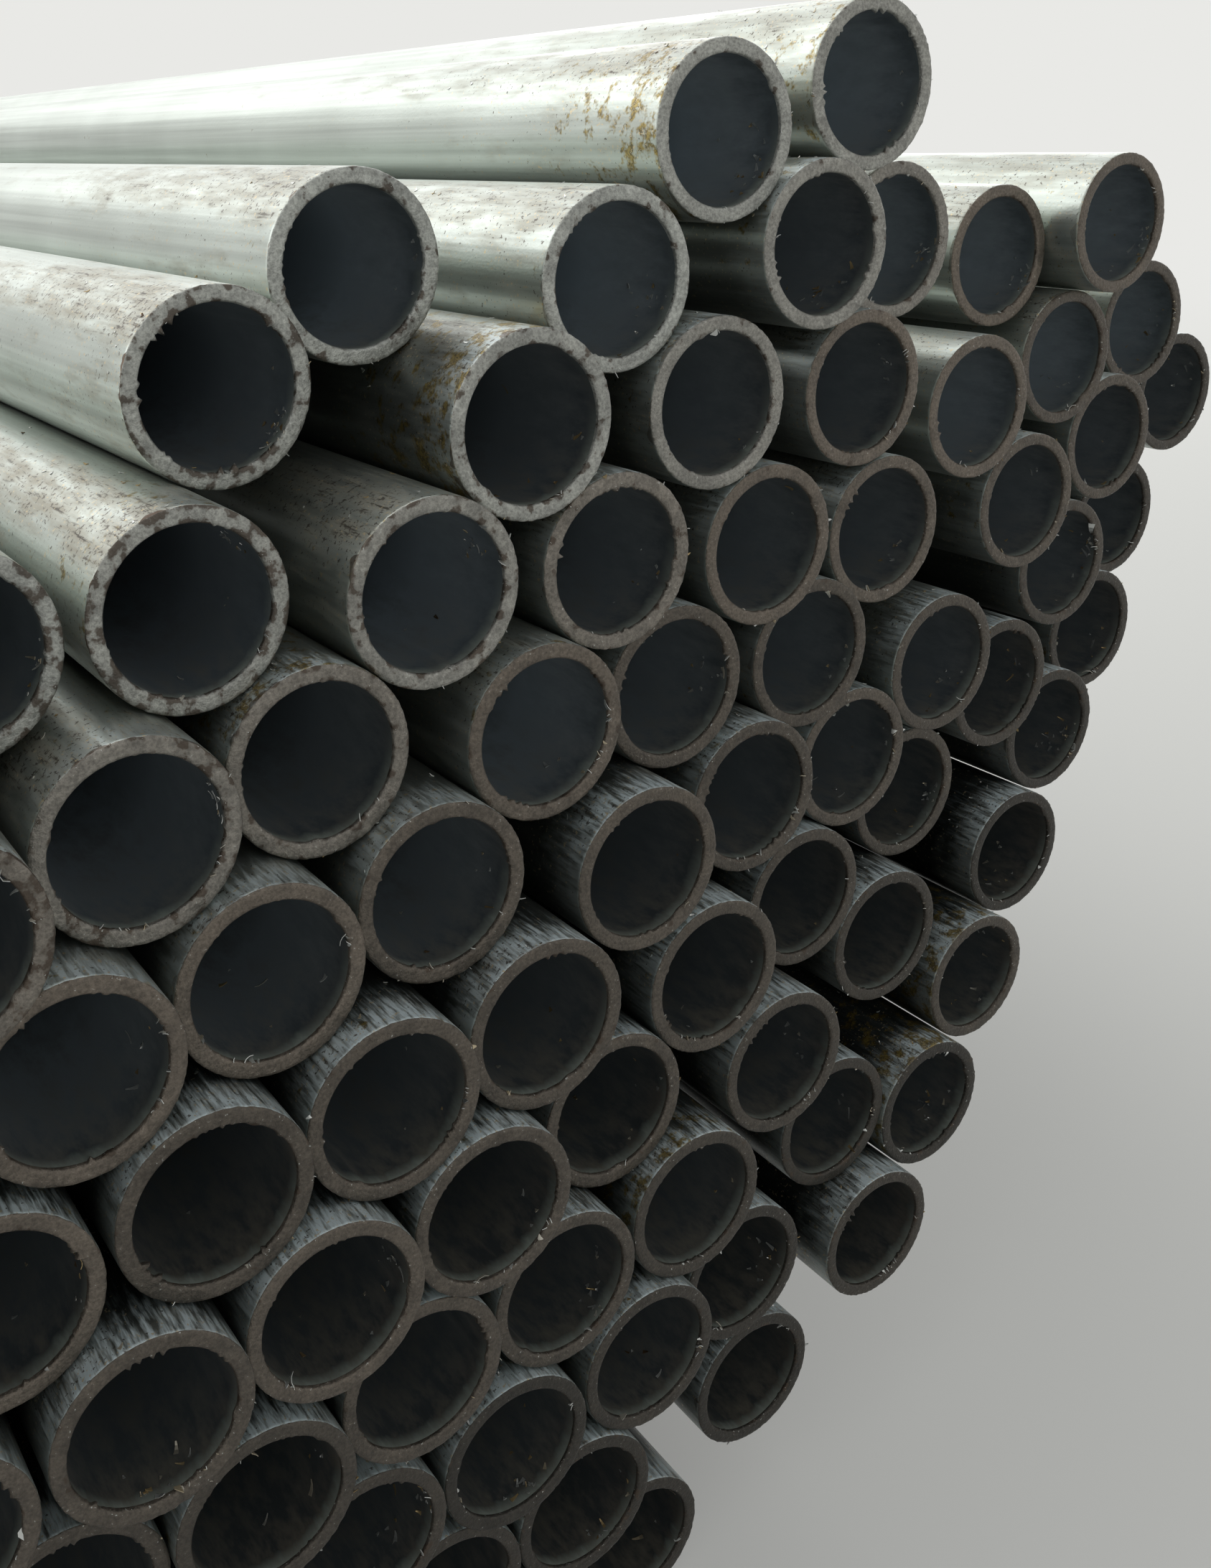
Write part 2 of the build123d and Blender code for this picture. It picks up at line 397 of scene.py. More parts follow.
    # Ochre stains, ragged patches about 4 mm across, fewer and fewer over the first 60 mm
    stains = add_node(tree, "TexNoise", {"Vector": shifted, "Scale": per_metre(4), "Detail": 3.0,
                                         "Roughness": 0.72}).outputs[0]
    stain_near = add_node(tree, "MapRange", {0: distance, 1: 4 * MM, 2: 60 * MM, 3: 0.06,
                                             4: -0.15}).outputs[0]
    stain_sum = add_node(tree, "Math", {0: stains, 1: stain_near}, operation="ADD").outputs[0]
    stain_from = add_node(tree, "MapRange", {0: ochre, 1: 0.0, 2: 1.0, 3: 0.71, 4: 0.53}).outputs[0]
    stain_over = add_node(tree, "Math", {0: stain_sum, 1: stain_from}, operation="SUBTRACT").outputs[0]
    stain = add_node(tree, "MapRange", {0: stain_over, 1: 0.0, 2: 0.1, 3: 0.0, 4: 0.88}).outputs[0]
    stain_tone = add_node(tree, "MapRange", {0: grains, 1: 0.4, 2: 0.6, 3: 0.0, 4: 1.0}).outputs[0]
    stain_colour = add_node(tree, "Mix", {0: stain_tone, 6: colour("#54451f"), 7: colour("#9b8643")},
                            data_type="RGBA").outputs[2]
    stained = add_node(tree, "Mix", {0: stain, 6: whitened, 7: stain_colour}, data_type="RGBA").outputs[2]

    # Saw grit: dark grains in drifts that thin out from the end and down the flanks, golden ones among them
    drift_near = add_node(tree, "Math", {0: near_end, 1: 0.1, 2: grains},
                          operation="MULTIPLY_ADD").outputs[0]
    drift = add_node(tree, "Math", {0: settled, 1: 0.06, 2: drift_near},
                     operation="MULTIPLY_ADD").outputs[0]
    drift_from = add_node(tree, "MapRange", {0: rust, 1: 0.2, 2: 1.0, 3: 0.78, 4: 0.74}).outputs[0]
    drift_over = add_node(tree, "Math", {0: drift, 1: drift_from}, operation="SUBTRACT").outputs[0]
    dark_grains = add_node(tree, "MapRange", {0: drift_over, 1: 0.0, 2: 0.04, 3: 0.0, 4: 0.8}).outputs[0]
    gritty = add_node(tree, "Mix", {0: dark_grains, 6: stained, 7: colour("#4a4138")},
                      data_type="RGBA").outputs[2]
    hollow = add_node(tree, "Math", {0: near_end, 1: -0.09, 2: grains}, operation="MULTIPLY_ADD").outputs[0]
    golden_grains = add_node(tree, "MapRange", {0: hollow, 1: 0.262, 2: 0.232, 3: 0.0, 4: 0.85}).outputs[0]
    golden = add_node(tree, "Mix", {0: golden_grains, 6: gritty, 7: colour("#cbb994")},
                      data_type="RGBA").outputs[2]

    # A broken line of rust where the saw bared the steel, on the rustier tubes
    edge_wave = add_node(tree, "Math", {0: uneven, 1: 11.0 * MM, 2: -5.6 * MM},
                         operation="MULTIPLY_ADD").outputs[0]
    at_edge = add_node(tree, "Math", {0: distance, 1: edge_wave}, operation="LESS_THAN").outputs[0]
    edge_rust = add_node(tree, "Math", {0: at_edge, 1: rust}, operation="MULTIPLY").outputs[0]
    final = add_node(tree, "Mix", {0: edge_rust, 6: golden, 7: colour("#4f3c2d")},
                     data_type="RGBA").outputs[2]

    # Bare zinc is a metal; what lies on it is not
    cover = add_node(tree, "Math", {0: dirt, 1: chalk_and_highlight}, operation="MAXIMUM").outputs[0]
    metal = add_node(tree, "MapRange", {0: cover, 1: 0.0, 2: 0.9, 3: 0.86, 4: 0.35}).outputs[0]
    rough = add_node(tree, "MapRange", {0: cover, 1: 0.0, 2: 0.9, 3: 0.35, 4: 0.55}).outputs[0]
    height = add_node(tree, "Math", {0: grains, 1: 0.8, 2: lines}, operation="MULTIPLY_ADD").outputs[0]
    bump = add_node(tree, "Bump", {"Height": height, "Strength": 0.3, "Distance": 0.15 * MM}).outputs[0]
    shader = add_node(tree, "BsdfPrincipled", {"Base Color": final, "Metallic": metal, "Roughness": rough,
                                               "Normal": bump}).outputs[0]
    add_node(tree, "OutputMaterial", {"Surface": shader})
    return material


def sawn_rim():
    """Low-carbon steel as a bandsaw leaves it: dull grey, torn in fine grains and faintly wavy, browner and
    darker with grime and painted shade low in the stack and on the right, with rust blotches that start at
    the edges and small painted glints where the burr is fresh."""
    material, tree = new_material("sawn_steel_rim")
    place, shifted, axes = places_on_tube(tree, RIM_SHIFT)
    grime_and_shade = add_node(tree, "Attribute", attribute_name="tube_grime_and_shade").outputs["Fac"]
    rust = add_node(tree, "Attribute", attribute_name="tube_rust").outputs["Fac"]

    # Clean steel, then grey-brown in the middle rows and dark at the bottom: grime and painted shade
    some = add_node(tree, "MapRange", {0: grime_and_shade, 1: 0.0, 2: 0.5, 3: 0.0, 4: 1.0}).outputs[0]
    more = add_node(tree, "MapRange", {0: grime_and_shade, 1: 0.5, 2: 1.0, 3: 0.0, 4: 1.0}).outputs[0]
    upper = add_node(tree, "Mix", {0: some, 6: colour("#b9bcb7"), 7: colour("#736a60")},
                     data_type="RGBA").outputs[2]
    base = add_node(tree, "Mix", {0: more, 6: upper, 7: colour("#3d3a35")}, data_type="RGBA").outputs[2]
    # Mottling about 5 mm across
    mottle = add_node(tree, "TexNoise", {"Vector": shifted, "Scale": per_metre(5), "Detail": 3.0,
                                         "Roughness": 0.65}).outputs[0]
    tone = add_node(tree, "MapRange", {0: mottle, 1: 0.32, 2: 0.68, 3: 0.74, 4: 1.24}).outputs[0]
    toned = add_node(tree, "Mix", {0: 1.0, 6: base, 7: tone}, data_type="RGBA",
                     blend_type="MULTIPLY").outputs[2]
    # The torn grain of the cut, drawn 0.65 mm across, twice as coarse as it is, so that it shows
    grain = add_node(tree, "TexNoise", {"Vector": shifted, "Scale": per_metre(0.65), "Detail": 2.0,
                                        "Roughness": 0.7}).outputs[0]
    grain_tone = add_node(tree, "MapRange", {0: grain, 1: 0.34, 2: 0.66, 3: 0.72, 4: 1.27}).outputs[0]
    grainy = add_node(tree, "Mix", {0: 1.0, 6: toned, 7: grain_tone}, data_type="RGBA",
                      blend_type="MULTIPLY").outputs[2]

    # How far a place is from the middle of the wall: 0 there, -1 at the bore and 1 at the outside
    flat = add_node(tree, "CombineXYZ", {"X": axes["X"], "Z": axes["Z"]}).outputs[0]
    radius = add_node(tree, "VectorMath", {0: flat}, operation="LENGTH").outputs["Value"]
    through = add_node(tree, "MapRange", {0: radius, 1: BORE_RADIUS, 2: OUTSIDE_RADIUS, 3: -1.0,
                                          4: 1.0}).outputs[0]
    edge = add_node(tree, "Math", {0: through}, operation="ABSOLUTE").outputs[0]
    # Rust blotches, about 2.6 mm, that start at the edges and join up on the rustier tubes
    blots = add_node(tree, "TexNoise", {"Vector": shifted, "Scale": per_metre(2.6), "Detail": 3.0,
                                        "Roughness": 0.62}).outputs[0]
    blot_edge = add_node(tree, "Math", {0: edge, 1: 0.12, 2: blots}, operation="MULTIPLY_ADD").outputs[0]
    blot_from = add_node(tree, "MapRange", {0: rust, 1: 0.0, 2: 1.0, 3: 0.76, 4: 0.55}).outputs[0]
    over = add_node(tree, "Math", {0: blot_edge, 1: blot_from}, operation="SUBTRACT").outputs[0]
    blot = add_node(tree, "MapRange", {0: over, 1: 0.0, 2: 0.08, 3: 0.0, 4: 0.88}).outputs[0]
    blot_tone = add_node(tree, "Mix", {0: mottle, 6: colour("#28231e"), 7: colour("#5f5043")},
                         data_type="RGBA").outputs[2]
    rusted = add_node(tree, "Mix", {0: blot, 6: grainy, 7: blot_tone}, data_type="RGBA").outputs[2]
    # Painted glints: bright specks of fresh steel, most of them along the edges
    glint_edge = add_node(tree, "Math", {0: edge, 1: 0.05, 2: grain}, operation="MULTIPLY_ADD").outputs[0]
    glint = add_node(tree, "MapRange", {0: glint_edge, 1: 0.72, 2: 0.77, 3: 0.0, 4: 0.8}).outputs[0]
    bright = add_node(tree, "Mix", {0: glint, 6: rusted, 7: colour("#cdd0cc")}, data_type="RGBA").outputs[2]

    # The band's shallow waves across the end, 4.4 mm apart; the lines of its single teeth are too fine to
    # show. At a scale of 1 the wave texture repeats every 2 pi / 20.
    turned = add_node(tree, "Mapping", {"Vector": place, "Rotation": (0.0, 0.5, 0.0)}).outputs[0]
    waves = add_node(tree, "TexWave", {"Vector": turned, "Scale": per_metre(4.4) * 2 * math.pi / 20,
                                       "Distortion": 3.0, "Detail": 1.0, "Detail Scale": 4.0},
                     wave_type="BANDS", bands_direction="X").outputs["Fac"]
    height = add_node(tree, "Math", {0: waves, 1: 0.3, 2: grain}, operation="MULTIPLY_ADD").outputs[0]
    bump = add_node(tree, "Bump", {"Height": height, "Strength": 0.8, "Distance": 0.25 * MM}).outputs[0]
    rough = add_node(tree, "MapRange", {0: mottle, 1: 0.3, 2: 0.7, 3: 0.4, 4: 0.6}).outputs[0]
    shader = add_node(tree, "BsdfPrincipled", {"Base Color": bright, "Metallic": 0.5, "Roughness": rough,
                                               "Normal": bump}).outputs[0]
    add_node(tree, "OutputMaterial", {"Surface": shader})
    return material


def dark_bore():
    """The welded tube's inside, thinly galvanised over mill scale: dull. Its colour is dark at the mouth and
    paler further in, in the upper tubes also bluer, a painted lift against the shade deep in the bore; in
    the lower ones soot and painted shade keep it dark, and the mouth is brown with dust. A pale strip along
    the bottom of the mouth is a painted highlight."""
    material, tree = new_material("dull_mill_scale_bore")
    place, shifted, axes = places_on_tube(tree, BORE_SHIFT)
    soot_and_shade = add_node(tree, "Attribute", attribute_name="tube_soot_and_shade").outputs["Fac"]
    rust = add_node(tree, "Attribute", attribute_name="tube_rust").outputs["Fac"]
    # Blotches about 3 mm wide and 8 mm long
    drawn = add_node(tree, "Mapping", {"Vector": shifted, "Scale": (1.0, 0.4, 1.0)}).outputs[0]
    blots = add_node(tree, "TexNoise", {"Vector": drawn, "Scale": per_metre(3), "Detail": 3.0,
                                        "Roughness": 0.7}).outputs[0]
    # Deep in the bore a pale colour, a painted lift against the shade there: greyer on the rustier tubes, and
    # darker low in the stack with soot and painted shade
    rusted = add_node(tree, "MapRange", {0: rust, 1: 0.5, 2: 1.0, 3: 0.0, 4: 1.0}).outputs[0]
    deep_lift = add_node(tree, "Mix", {0: rusted, 6: colour("#ccd8df"), 7: colour("#858e94")},
                     data_type="RGBA").outputs[2]
    deep = add_node(tree, "Mix", {0: soot_and_shade, 6: deep_lift, 7: colour("#4f5658")}, data_type="RGBA").outputs[2]
    # Dark at the mouth, turning into that painted lift from 7 to 34 mm in, along a ragged edge
    ragged = add_node(tree, "Math", {0: blots, 1: 10 * MM, 2: axes["Y"]},
                      operation="MULTIPLY_ADD").outputs[0]
    inward = add_node(tree, "MapRange", {0: ragged, 1: 7 * MM, 2: 34 * MM, 3: 0.0, 4: 1.0}).outputs[0]
    # The mouth: grey on the upper tubes; on the lower ones darker with soot and painted shade, and brown with
    # dust
    rusty = add_node(tree, "MapRange", {0: blots, 1: 0.4, 2: 0.7, 3: 0.0, 4: 1.0}).outputs[0]
    dusty_mouth = add_node(tree, "Mix", {0: rusty, 6: colour("#26292a"), 7: colour("#474139")},
                           data_type="RGBA").outputs[2]
    mouth = add_node(tree, "Mix", {0: soot_and_shade, 6: colour("#485055"), 7: dusty_mouth},
                     data_type="RGBA").outputs[2]
    wall = add_node(tree, "Mix", {0: inward, 6: mouth, 7: deep}, data_type="RGBA").outputs[2]
    # Dust along the bottom
    low = add_node(tree, "MapRange", {0: axes["Z"], 1: -BORE_RADIUS * 0.4, 2: -BORE_RADIUS, 3: 0.0,
                                      4: 0.5}).outputs[0]
    amount = add_node(tree, "Math", {0: low, 1: rusty}, operation="MULTIPLY").outputs[0]
    dusted = add_node(tree, "Mix", {0: amount, 6: wall, 7: colour("#6b675b")}, data_type="RGBA").outputs[2]
    # A pale strip along the bottom of the mouth, a painted highlight where the lip faces up into the light
    lip_edge = add_node(tree, "Math", {0: blots, 1: 5 * MM, 2: axes["Y"]},
                        operation="MULTIPLY_ADD").outputs[0]
    lip = add_node(tree, "MapRange", {0: lip_edge, 1: 3.2 * MM, 2: 6 * MM, 3: 0.8, 4: 0.0}).outputs[0]
    bottom = add_node(tree, "MapRange", {0: axes["Z"], 1: BORE_RADIUS * 0.1, 2: -BORE_RADIUS * 0.85,
                                         3: 0.12, 4: 1.0}).outputs[0]
    lit_lip = add_node(tree, "Math", {0: lip, 1: bottom}, operation="MULTIPLY").outputs[0]
    base = add_node(tree, "Mix", {0: lit_lip, 6: dusted, 7: colour("#959c92")},
                    data_type="RGBA").outputs[2]
    shader = add_node(tree, "BsdfPrincipled", {"Base Color": base, "Metallic": 0.0,
                                               "Roughness": 0.6}).outputs[0]
    add_node(tree, "OutputMaterial", {"Surface": shader})
    return material


def fresh_swarf():
    """Torn slivers of the same steel, bright where fresh, and straw to brown from the saw's heat or rust."""
    material, tree = new_material("bright_steel_swarf")
    tint = add_node(tree, "Attribute", attribute_name="chip_tint").outputs["Fac"]
    straw = add_node(tree, "MapRange", {0: tint, 1: 0.55, 2: 0.8, 3: 0.0, 4: 1.0}).outputs[0]
    brown = add_node(tree, "MapRange", {0: tint, 1: 0.85, 2: 1.0, 3: 0.0, 4: 1.0}).outputs[0]
    warm = add_node(tree, "Mix", {0: straw, 6: colour("#c6c8c5"), 7: colour("#a8946c")},
                    data_type="RGBA").outputs[2]
    base = add_node(tree, "Mix", {0: brown, 6: warm, 7: colour("#4f3c2c")}, data_type="RGBA").outputs[2]
    rough = add_node(tree, "MapRange", {0: tint, 1: 0.0, 2: 1.0, 3: 0.28, 4: 0.6}).outputs[0]
    shader = add_node(tree, "BsdfPrincipled", {"Base Color": base, "Metallic": 0.8,
                                               "Roughness": rough}).outputs[0]
    add_node(tree, "OutputMaterial", {"Surface": shader})
    return material


finishes = [zinc_coat(), sawn_rim(), dark_bore()]
for name, row in rows.items():
    make_row(name, row, finishes)


class Swarf:
    """The saw's slivers and chips, gathered into one mesh. Each is a strip of STEPS boxes, end to end."""
    STEPS = 3
    THICKNESS = 0.12 * MM

    def __init__(self):
        self.corners, self.faces, self.tints = [], [], []

    def add(self, foot, along, across, length, width, curl, tint):
        """A sliver that starts at its foot, bends by curl radians out of the plane of along and across, and
        tapers."""
        along = along / np.linalg.norm(along)
        across = across - along * (across @ along)
        across = across / np.linalg.norm(across)
        rise = np.cross(across, along)
        first = len(self.corners)
        centre = np.array(foot)
        for step in range(self.STEPS + 1):
            share = step / self.STEPS
            forward = along * math.cos(curl * share) + rise * math.sin(curl * share)
            up = np.cross(across, forward)
            half, thick = width / 2 * (1 - 0.7 * share), self.THICKNESS / 2 * (1 - 0.4 * share)
            for side, top in ((-1, -1), (1, -1), (1, 1), (-1, 1)):
                self.corners.append(tuple(centre + across * side * half + up * top * thick))
            centre = centre + forward * length / self.STEPS
        for step in range(self.STEPS):
            here, there = first + 4 * step, first + 4 * step + 4
            for corner in range(4):
                after = (corner + 1) % 4
                self.faces.append((here + corner, here + after, there + after, there + corner))
        last = first + 4 * self.STEPS
        self.faces += [(first + 3, first + 2, first + 1, first), (last, last + 1, last + 2, last + 3)]
        self.tints += [tint] * (4 * self.STEPS + 4)


swarf = Swarf()
dice = random.Random(33)
ALONG_TUBE = np.array([0.0, 1.0, 0.0])


def is_clear(place, own, room):
    """True where a place is this much clear of the wall of every tube but its own."""
    away = np.hypot(axes_of_tubes[:, 0] - place[0], axes_of_tubes[:, 1] - place[2])
    beside = axes_of_tubes[:, 2] < place[1] + room
    in_wall = (away > BORE_RADIUS - room) & (away < OUTSIDE_RADIUS + room) & beside
    in_wall[own] = False
    return not in_wall.any()


def directions_at(degrees):
    """Straight out from the tube's axis and round the tube, at an angle from its right side upwards."""
    angle = math.radians(degrees)
    out = np.array([math.cos(angle), 0.0, math.sin(angle)])
    return out, np.array([-out[2], 0.0, out[0]])


def any_way_on(around):
    """A chance direction in the tube's surface."""
    heading = dice.uniform(0, 2 * math.pi)
    return around * math.cos(heading) + ALONG_TUBE * math.sin(heading)


def add_burr_slivers(mouth):
    """Burr slivers at the bore's edge, rooted in the rim, in bunches that lie mostly low down and on the
    right. A few are long curls, and a third are lumps."""
    for _ in range(dice.choice([1, 2, 3])):
        bunch = dice.gauss(-45, 70)
        for _ in range(dice.choice([1, 2, 4])):
            is_curl, is_lump = dice.random() < 0.03, dice.random() < 0.32
            out, around = directions_at(dice.gauss(bunch, 7))
            foot = mouth + ALONG_TUBE * 0.3 * MM + out * (BORE_RADIUS + 0.15 * MM)
            along = -out + around * dice.uniform(-1.6, 1.6) + ALONG_TUBE * dice.uniform(-0.5, 0.6)
            length = dice.uniform(2.0, 3.6) if is_curl else min(dice.expovariate(1 / 0.35) + 0.4, 1.6)
            width = dice.uniform(0.9, 1.9) if is_lump else dice.uniform(0.4, 0.9)
            across = ALONG_TUBE + around * dice.uniform(-1, 1)
            curl = dice.uniform(-2.6, 2.6) if is_curl else dice.uniform(-1.2, 1.2)
            tint = dice.uniform(0, 0.75)
            swarf.add(foot, along, across, length * MM, width * MM, curl, tint)


def add_edge_slivers(mouth, own):
    """Slivers at the outer edge, where the saw leaves the cut, kept clear of the floor and of other tubes."""
    for _ in range(dice.choice([0, 2, 5])):
        out, around = directions_at(dice.gauss(-40, 60))
        foot = mouth + ALONG_TUBE * 0.25 * MM + out * (OUTSIDE_RADIUS - 0.2 * MM)
        along = out + around * dice.uniform(-1.4, 1.4) - ALONG_TUBE * dice.uniform(0, 0.9)
        length = min(dice.expovariate(1 / 0.25) + 0.3, 1.2) * MM
        across = ALONG_TUBE + around * dice.uniform(-1, 1)
        width = dice.uniform(0.3, 0.8) * MM
        curl = dice.uniform(-0.8, 0.8)
        tint = dice.uniform(0, 0.95)
        tip = foot + along / np.linalg.norm(along) * length
        if tip[2] > LOWEST and is_clear(tip, own, 0.1 * MM):
            swarf.add(foot, along, across, length, width, curl, tint)


def add_bore_flakes(mouth):
    """Flakes on the bore's wall: loose bunches low down and to the right, just inside the mouth, and a few
    single, browner ones further in."""
    flakes = []
    for _ in range(dice.choice([0, 1, 1, 2])):
        bunch_angle, bunch_distance = dice.gauss(-30, 28), dice.uniform(1.0, 8)
        for _ in range(dice.choice([3, 6, 11])):
            degrees = dice.gauss(bunch_angle, 10)
            distance = abs(dice.gauss(bunch_distance, 2.5)) + 1.2
            flakes.append((degrees, distance, dice.uniform(0, 0.95)))
    for _ in range(dice.choice([0, 2, 5])):
        flakes.append((dice.gauss(-60, 35), 2 + dice.expovariate(1 / 12), dice.uniform(0.5, 1)))
    for degrees, distance, tint in flakes:
        out, around = directions_at(degrees)
        along = any_way_on(around)
        foot = mouth + ALONG_TUBE * distance * MM + out * (BORE_RADIUS - 0.07 * MM)
        length = min(dice.expovariate(1 / 0.6) + 0.4, 2.8) * MM
        width = dice.uniform(0.3, 1.0) * MM
        curl = dice.uniform(0.2, 1.2)
        swarf.add(foot, along, np.cross(along, -out), length, width, curl, tint)


def add_chips_on_top(mouth, own):
    """Chips and grains that lie on the top of the tube near its end, where nothing rests on it."""
    for _ in range(dice.choice([4, 9, 18])):
        out, around = directions_at(dice.gauss(105, 26))
        distance = min(1.0 + dice.expovariate(1 / 26), 160) * MM
        along = any_way_on(around)
        foot = mouth + ALONG_TUBE * distance + out * (OUTSIDE_RADIUS + 0.04 * MM)
        length = dice.uniform(0.35, 1.2) * MM
        width = dice.uniform(0.25, 0.7) * MM
        curl = dice.uniform(0.2, 1.2)
        tint = dice.uniform(0, 1)
        if is_clear(foot, own, 1.2 * MM):
            swarf.add(foot, along, np.cross(along, out), length, width, curl, tint)


for own, (x, z, near) in enumerate(tubes):
    mouth = np.array([x, near, z])
    add_burr_slivers(mouth)
    add_edge_slivers(mouth, own)
    add_bore_flakes(mouth)
    add_chips_on_top(mouth, own)

swarf_mesh = bpy.data.meshes.new("saw_swarf")
swarf_mesh.from_pydata(swarf.corners, [], swarf.faces)
swarf_mesh.attributes.new("chip_tint", "FLOAT", "POINT").data.foreach_set("value", swarf.tints)
swarf_mesh.materials.append(fresh_swarf())
swarf_mesh.update()
swarf_piece = bpy.data.objects.new("saw_swarf", swarf_mesh)
bpy.context.scene.collection.objects.link(swarf_piece)
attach(swarf_piece, "root")


BACKGROUND = "#e9e9e6"
# The room's own faint, even light on the object
ROOM_LIGHT, ROOM_STRENGTH = "#e2e5e6", 0.5
# How much of the background's brightness the camera sees on the floor besides the light that falls there
FLOOR_LIFT = 0.26
# The floor turns into the background between these distances along the tubes, in metres, and this many times
# nearer beside them
FADE_FROM, FADE_TO = 1.9, 4.2
NEARER_BESIDE = 2.2
# It reaches this far, in metres, and lies a hair under the stack, so that the two share no plane
FLOOR_RADIUS = 60
FLOOR_DROP = 1 * MM


def add_seen(tree):
    """1 for what the camera sees, straight or in a reflection, and 0 for the light on the object."""
    path = add_node(tree, "LightPath").outputs
    direct = add_node(tree, "Math", {0: path["Is Camera Ray"], 1: path["Is Glossy Ray"]},
                      operation="MAXIMUM").outputs[0]
    return add_node(tree, "Math", {0: direct, 1: path["Is Transmission Ray"]}, operation="MAXIMUM").outputs[0]


def pale_floor():
    """A matt painted studio floor, pale and plain. It runs into the background a few metres off."""
    material, tree = new_material("pale_floor_paint")
    material.cycles.emission_sampling = "NONE"
    grain = add_node(tree, "TexNoise", {"Scale": per_metre(400), "Detail": 2.0}).outputs[0]
    paint = add_node(tree, "Mix", {0: grain, 6: colour("#b0b0ac"), 7: colour("#b4b4b0")},
                     data_type="RGBA").outputs[2]
    seen = add_seen(tree)
    lift = add_node(tree, "Math", {0: seen, 1: FLOOR_LIFT}, operation="MULTIPLY").outputs[0]
    painted = add_node(tree, "BsdfPrincipled", {"Base Color": paint, "Roughness": 0.85}).outputs[0]
    lifted = add_node(tree, "Emission", {"Color": colour(BACKGROUND), "Strength": lift}).outputs[0]
    near = add_node(tree, "AddShader", {0: painted, 1: lifted}).outputs[0]
    far = add_node(tree, "Emission", {"Color": colour(BACKGROUND), "Strength": 1.0}).outputs[0]
    place = add_node(tree, "NewGeometry").outputs["Position"]
    squeezed = add_node(tree, "VectorMath", {0: place, 1: (NEARER_BESIDE, 1.0, 1.0)},
                        operation="MULTIPLY").outputs[0]
    distance = add_node(tree, "VectorMath", {0: squeezed}, operation="LENGTH").outputs["Value"]
    fade = add_node(tree, "MapRange", {0: distance, 1: FADE_FROM, 2: FADE_TO, 3: 0.0, 4: 1.0},
                    interpolation_type="SMOOTHSTEP").outputs[0]
    share = add_node(tree, "Math", {0: fade, 1: seen}, operation="MULTIPLY").outputs[0]
    floor_shader = add_node(tree, "MixShader", {0: share, 1: near, 2: far}).outputs[0]
    add_node(tree, "OutputMaterial", {"Surface": floor_shader})
    return material


bpy.ops.mesh.primitive_circle_add(vertices=96, radius=FLOOR_RADIUS, fill_type="NGON",
                                  location=(0, 0, LOWEST - FLOOR_DROP))
floor = bpy.context.object
floor.name = "studio_floor"
floor.data.materials.append(pale_floor())

world = bpy.data.worlds.new("studio")
bpy.context.scene.world = world
world.use_nodes = True
world.cycles.sampling_method = "NONE"
world.node_tree.nodes.clear()
room_light = add_node(world.node_tree, "Background", {0: colour(ROOM_LIGHT), 1: ROOM_STRENGTH}).outputs[0]
background = add_node(world.node_tree, "Background", {0: colour(BACKGROUND), 1: 1.0}).outputs[0]
shown = add_node(world.node_tree, "MixShader", {0: add_seen(world.node_tree), 1: room_light,
                                                2: background}).outputs[0]
add_node(world.node_tree, "OutputWorld", {"Surface": shown})


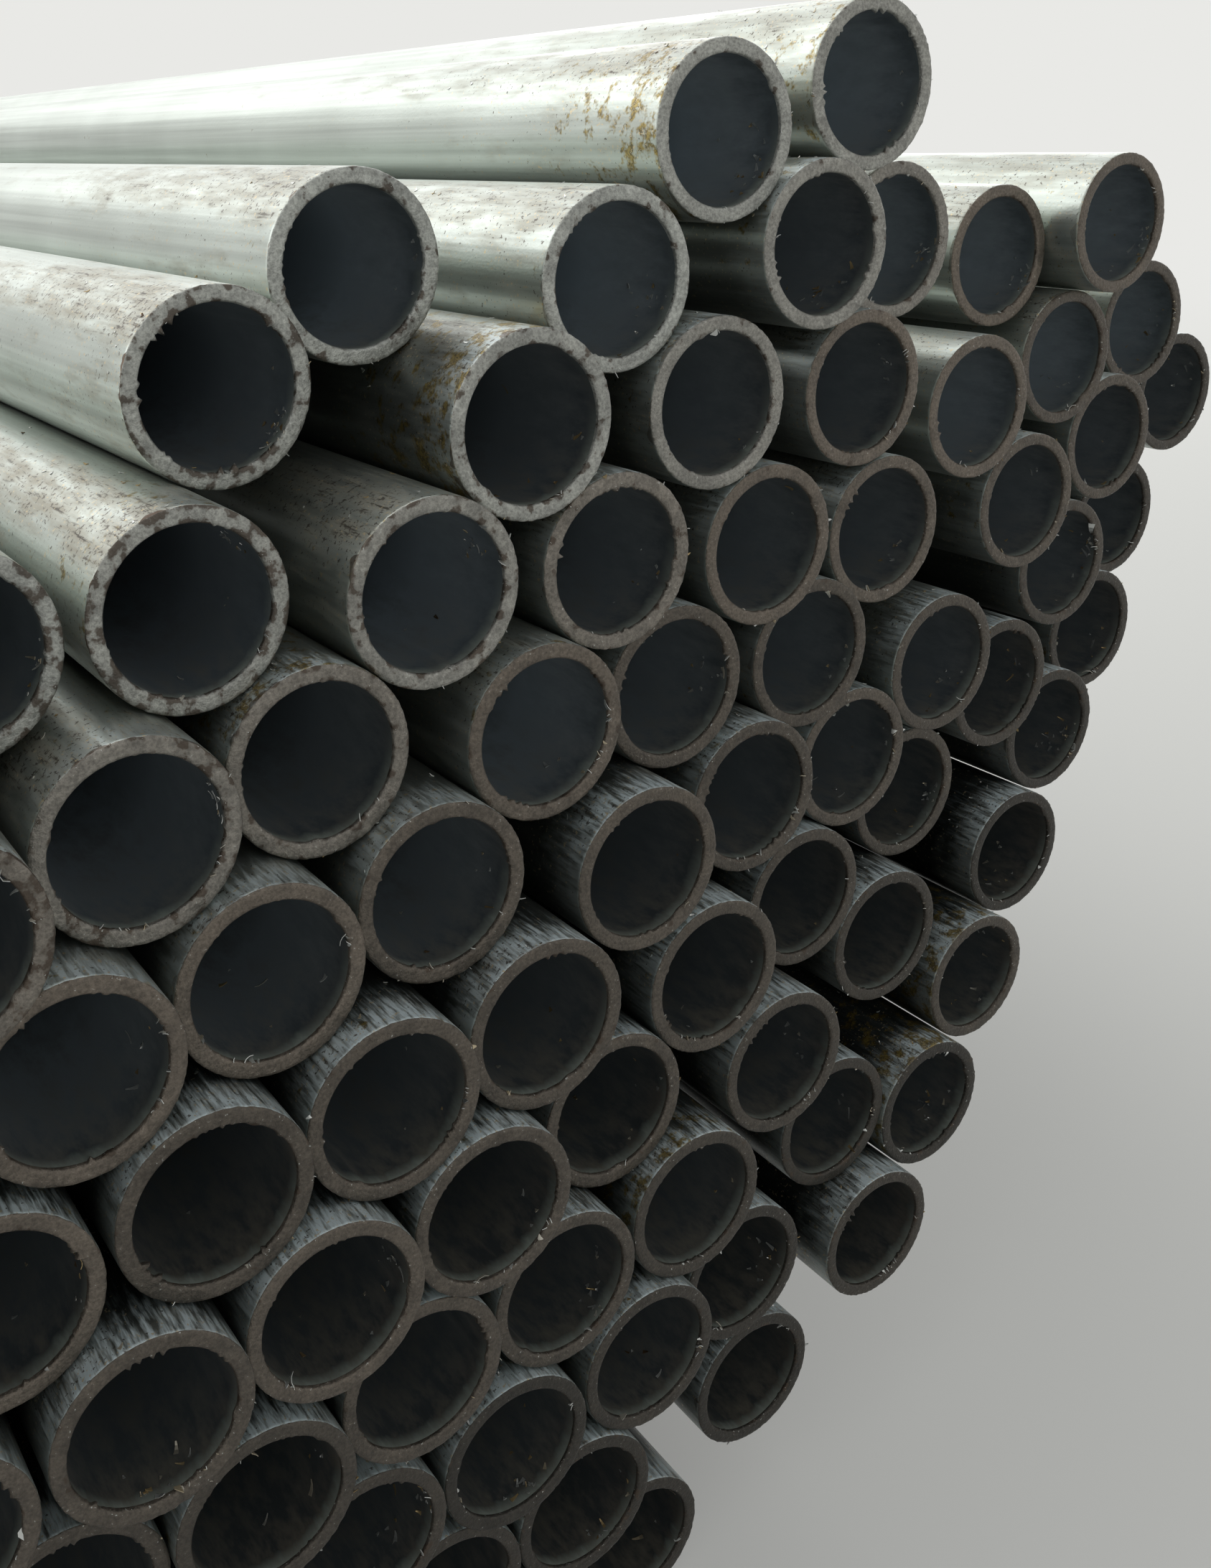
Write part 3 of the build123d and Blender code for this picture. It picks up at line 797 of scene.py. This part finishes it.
def add_softbox(name, place, aim, size, power):
    """A rectangular studio lamp, its size in metres and its power in watts, which the camera doesn't see."""
    lamp = bpy.data.lights.new(name, "AREA")
    lamp.shape = "RECTANGLE"
    lamp.size, lamp.size_y = size
    lamp.energy = power
    softbox = bpy.data.objects.new(name, lamp)
    softbox.location = place
    softbox.rotation_euler = (Vector(aim) - Vector(place)).to_track_quat("-Z", "Y").to_euler()
    softbox.visible_camera = False
    bpy.context.scene.collection.objects.link(softbox)


# The light comes from above and from beyond the far ends, so that it runs along the tubes' tops
add_softbox("overhead_softbox", (-0.7, 0.4, 2.7), (0.0, 0.0, 0.2), (2.5, 4.5), 66)
add_softbox("far_softbox", (0.9, 3.4, 2.9), (0.0, -1.3, 0.3), (5.0, 2.3), 48)
add_softbox("right_softbox", (2.7, 0.2, 1.2), (0.1, -1.4, 0.25), (3.0, 1.8), 28)
add_softbox("left_softbox", (-2.8, 0.3, 1.5), (-0.1, -1.3, 0.3), (2.4, 1.8), 15)

# The camera stands left of the sawn ends, close, and looks down along the stack. The picture is cropped
# off-centre, which the shift repeats. Its size, its focal length and the lens's centre are in its own pixels.
PICTURE = (1687, 2184)
FOCAL_PIXELS = 2095.17
CENTRE_PIXEL = (608.5, 849.5)
# In mm, along the picture's longer side
SENSOR_WIDTH = 36
CAMERA_PLACE = (-143.6 * MM, -1716.0 * MM, 331.65 * MM)
# In degrees: to the right of the tubes' own direction, down, and rolled clockwise
LOOKS_RIGHT, LOOKS_DOWN, ROLLED = 29.741, 19.618, 5.229

camera_data = bpy.data.cameras.new("camera")
camera_data.sensor_width = SENSOR_WIDTH
camera_data.lens = SENSOR_WIDTH * FOCAL_PIXELS / PICTURE[1]
camera_data.shift_x = (PICTURE[0] / 2 - CENTRE_PIXEL[0]) / PICTURE[1]
camera_data.shift_y = (CENTRE_PIXEL[1] - PICTURE[1] / 2) / PICTURE[1]
camera_data.clip_start = 0.01
camera_data.clip_end = 200
camera = bpy.data.objects.new("camera", camera_data)
heading = Matrix.Rotation(math.radians(-LOOKS_RIGHT), 4, "Z")
tilt = Matrix.Rotation(math.radians(90 - LOOKS_DOWN), 4, "X")
roll = Matrix.Rotation(math.radians(-ROLLED), 4, "Z")
camera.matrix_world = Matrix.Translation(CAMERA_PLACE) @ heading @ tilt @ roll
bpy.context.scene.collection.objects.link(camera)
bpy.context.scene.camera = camera

bpy.context.scene.view_settings.view_transform = "Standard"
